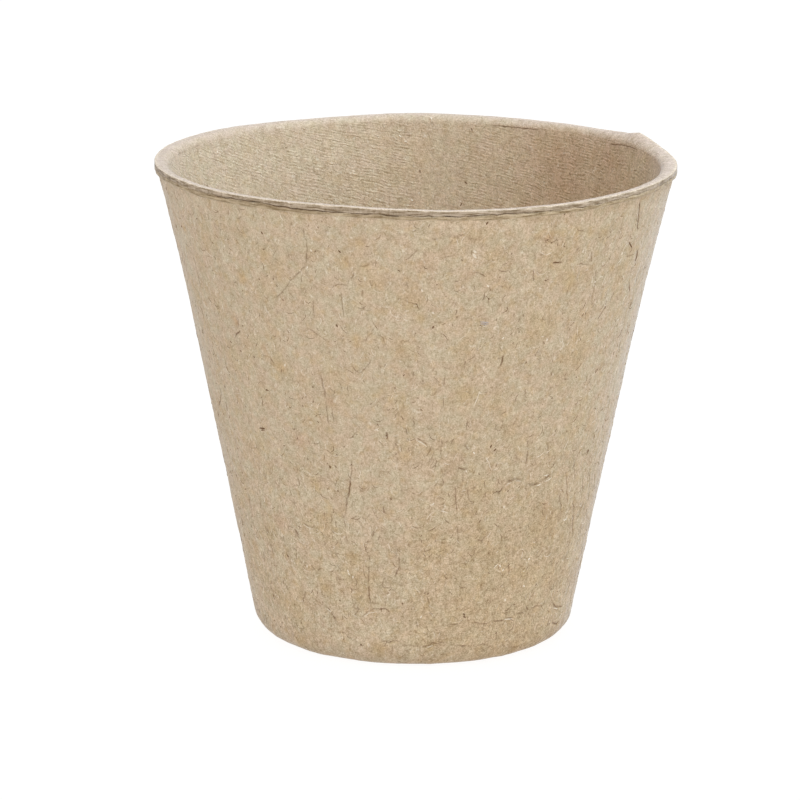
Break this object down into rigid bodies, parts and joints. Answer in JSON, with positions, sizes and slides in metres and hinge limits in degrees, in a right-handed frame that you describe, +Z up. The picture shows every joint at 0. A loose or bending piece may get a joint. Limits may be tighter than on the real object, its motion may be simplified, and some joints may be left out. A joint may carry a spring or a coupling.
{
  "type": "seedling pot",
  "caption": "Round tapered seedling pot of moulded peat and wood fibre, open at the top, with a slightly flared wall, a trimmed lip that stands out all round the rim and a flat foot.",
  "frame": {"origin": "middle of the foot, on the plane that the pot stands on", "axes": "+Z up along the pot's axis, towards the open rim. +X and +Y lie in the foot's plane, and the picture looks along +Y"},
  "size_m": [0.08, 0.08, 0.074],
  "materials": {
    "screen_side_fibre": "dry matt pulp, pressed on a wire screen",
    "felt_side_fibre": "dry matt pulp with loose surface fibres and fine cracks"
  },
  "bodies": {
    "root": {"inner_ply": "screen_side_fibre", "outer_ply": "felt_side_fibre"}
  },
  "joints": []
}
